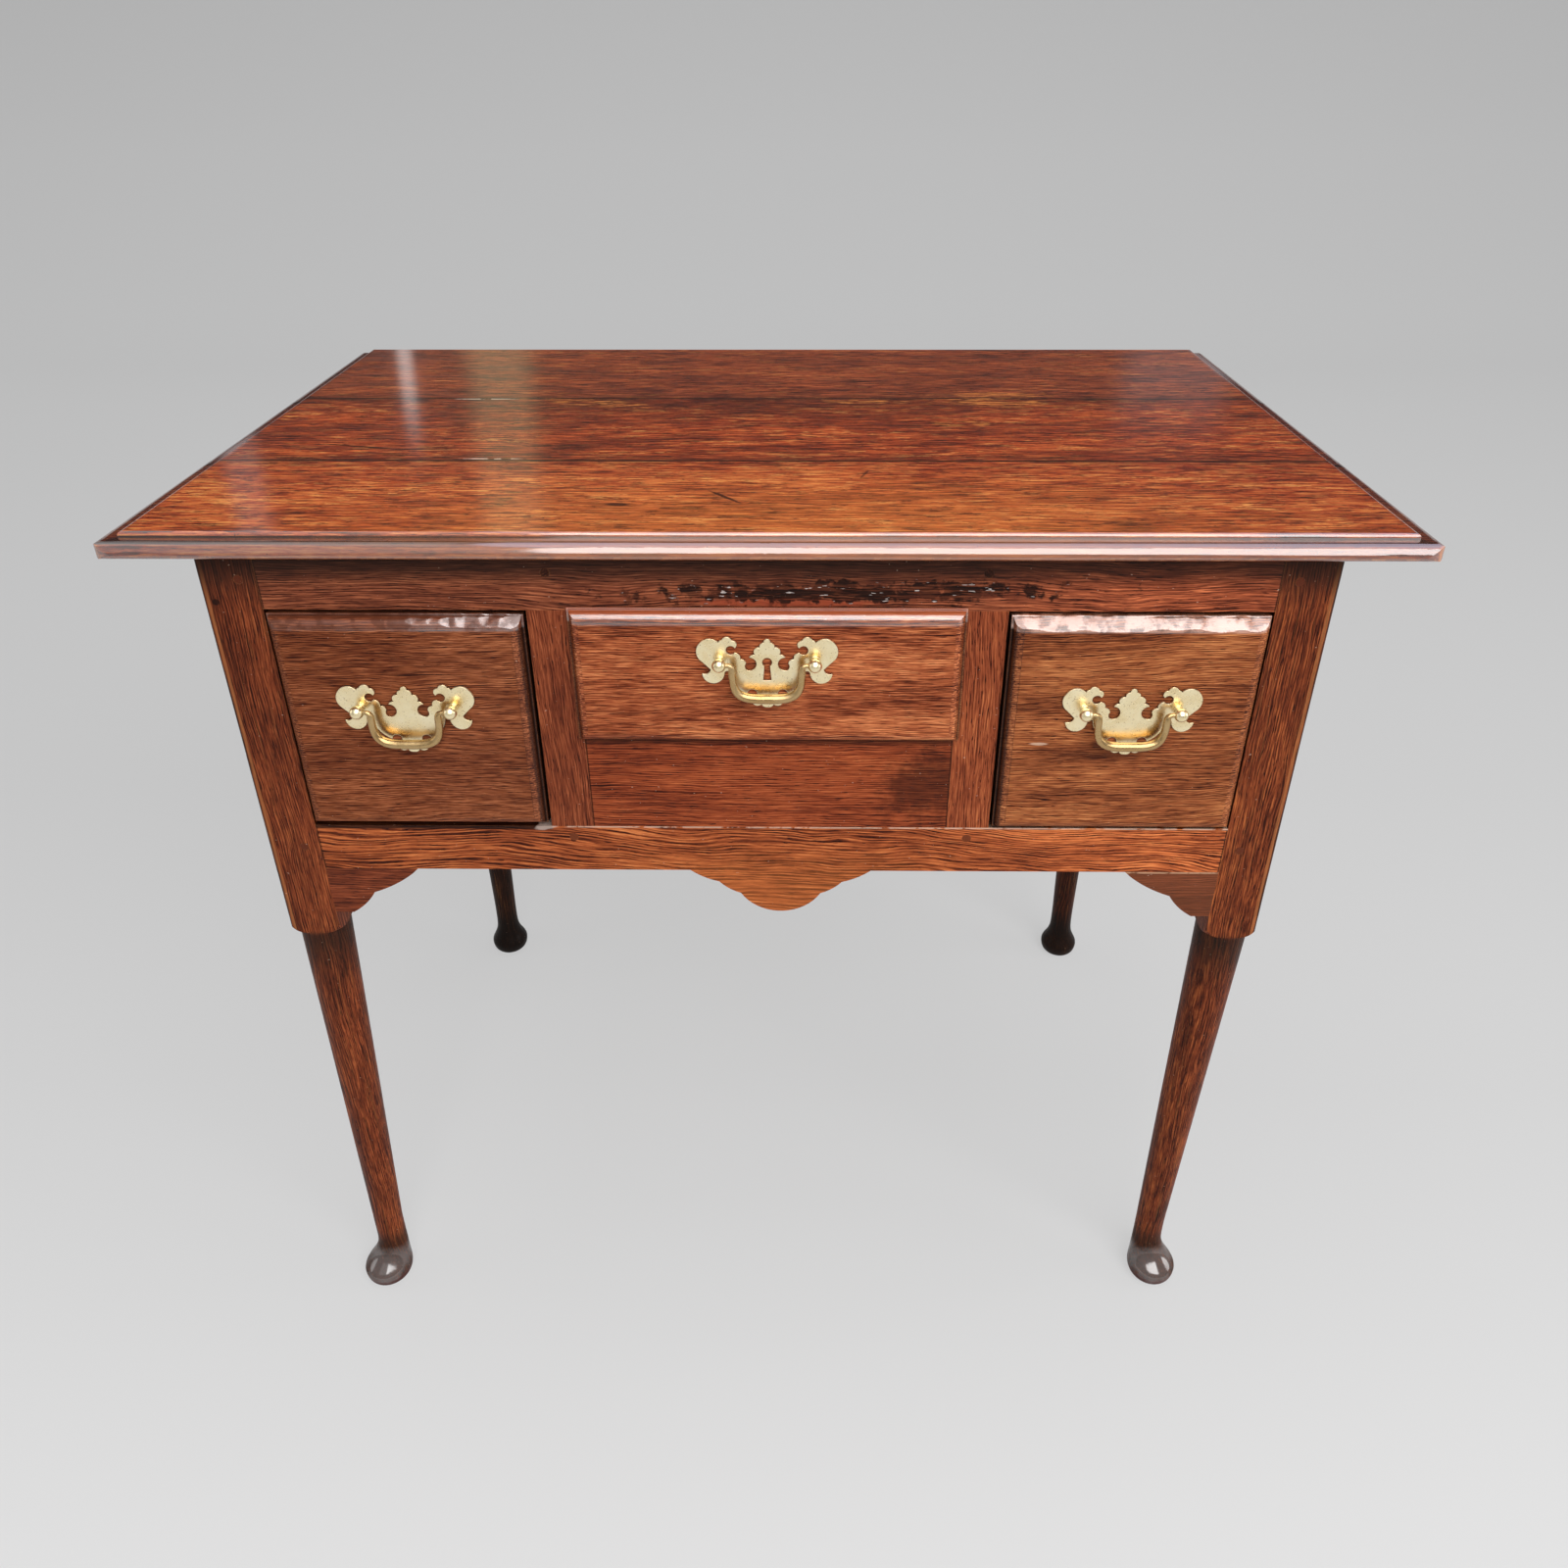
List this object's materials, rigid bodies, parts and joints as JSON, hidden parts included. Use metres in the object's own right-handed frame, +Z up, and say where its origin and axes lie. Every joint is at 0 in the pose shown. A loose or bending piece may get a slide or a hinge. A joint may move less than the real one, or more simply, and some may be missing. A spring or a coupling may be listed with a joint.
{
  "type": "lowboy",
  "caption": "Oak lowboy with a moulded board top, side drawers beside a shallow middle drawer, a shaped apron and turned legs on pad feet; the drawers slide and their brass bails swing.",
  "frame": {"origin": "on the floor under the middle of the top", "axes": "+X to the right, -Y to the front, +Z up"},
  "size_m": [0.795, 0.484, 0.7035],
  "materials": {
    "oak_top": "waxed, glossy",
    "oak_case": "waxed, satin",
    "oak_drawer_front": "waxed, satin",
    "oak_lining": "bare",
    "brass": "polished, worn"
  },
  "bodies": {
    "case": {"back_board": "oak_lining", "bottom_rail": "oak_case", "bracket_left": "oak_case", "bracket_right": "oak_case", "centre_panel": "oak_case", "drawer_stops": "oak_lining", "glue_blocks": "oak_lining", "kickers_inner": "oak_lining", "kickers_outer": "oak_lining", "leg_back_left": "oak_case", "leg_back_right": "oak_case", "leg_front_left": "oak_case", "leg_front_right": "oak_case", "muntin_left": "oak_case", "muntin_right": "oak_case", "rail_pegs": "oak_case", "runner_centre_left": "oak_lining", "runner_centre_right": "oak_lining", "runner_left_inner": "oak_lining", "runner_left_outer": "oak_lining", "runner_right_inner": "oak_lining", "runner_right_outer": "oak_lining", "side_panel_left": "oak_case", "side_panel_right": "oak_case", "top_board_back": "oak_top", "top_board_front": "oak_top", "top_board_middle": "oak_top", "top_rail": "oak_case"},
    "drawer_left": {"backplate_left": "brass", "bail_posts_left": "brass", "drawer_left_back": "oak_lining", "drawer_left_bottom": "oak_lining", "drawer_left_front": "oak_drawer_front", "drawer_left_side_left": "oak_lining", "drawer_left_side_right": "oak_lining", "post_nuts_left": "brass"},
    "bail_left": {"bail_left": "brass"},
    "drawer_centre": {"backplate_centre": "brass", "bail_posts_centre": "brass", "drawer_centre_back": "oak_lining", "drawer_centre_bottom": "oak_lining", "drawer_centre_front": "oak_drawer_front", "drawer_centre_side_left": "oak_lining", "drawer_centre_side_right": "oak_lining", "post_nuts_centre": "brass"},
    "bail_centre": {"bail_centre": "brass"},
    "drawer_right": {"backplate_right": "brass", "bail_posts_right": "brass", "drawer_right_back": "oak_lining", "drawer_right_bottom": "oak_lining", "drawer_right_front": "oak_drawer_front", "drawer_right_side_left": "oak_lining", "drawer_right_side_right": "oak_lining", "post_nuts_right": "brass"},
    "bail_right": {"bail_right": "brass"}
  },
  "joints": [
    {"name": "drawer_left_slide", "type": "slide", "parent": "case", "child": "drawer_left", "axis": [0, -1, 0], "range_m": [0, 0.3]},
    {"name": "bail_left_hinge", "type": "hinge", "parent": "drawer_left", "child": "bail_left", "pos_m": [-0.2305, -0.236, 0.58525], "axis": [-1, 0, 0], "range_deg": [-8, 172]},
    {"name": "drawer_centre_slide", "type": "slide", "parent": "case", "child": "drawer_centre", "axis": [0, -1, 0], "range_m": [0, 0.3]},
    {"name": "bail_centre_hinge", "type": "hinge", "parent": "drawer_centre", "child": "bail_centre", "pos_m": [0, -0.236, 0.6195], "axis": [-1, 0, 0], "range_deg": [-8, 172]},
    {"name": "drawer_right_slide", "type": "slide", "parent": "case", "child": "drawer_right", "axis": [0, -1, 0], "range_m": [0, 0.3]},
    {"name": "bail_right_hinge", "type": "hinge", "parent": "drawer_right", "child": "bail_right", "pos_m": [0.2305, -0.236, 0.58525], "axis": [-1, 0, 0], "range_deg": [-8, 172]}
  ]
}
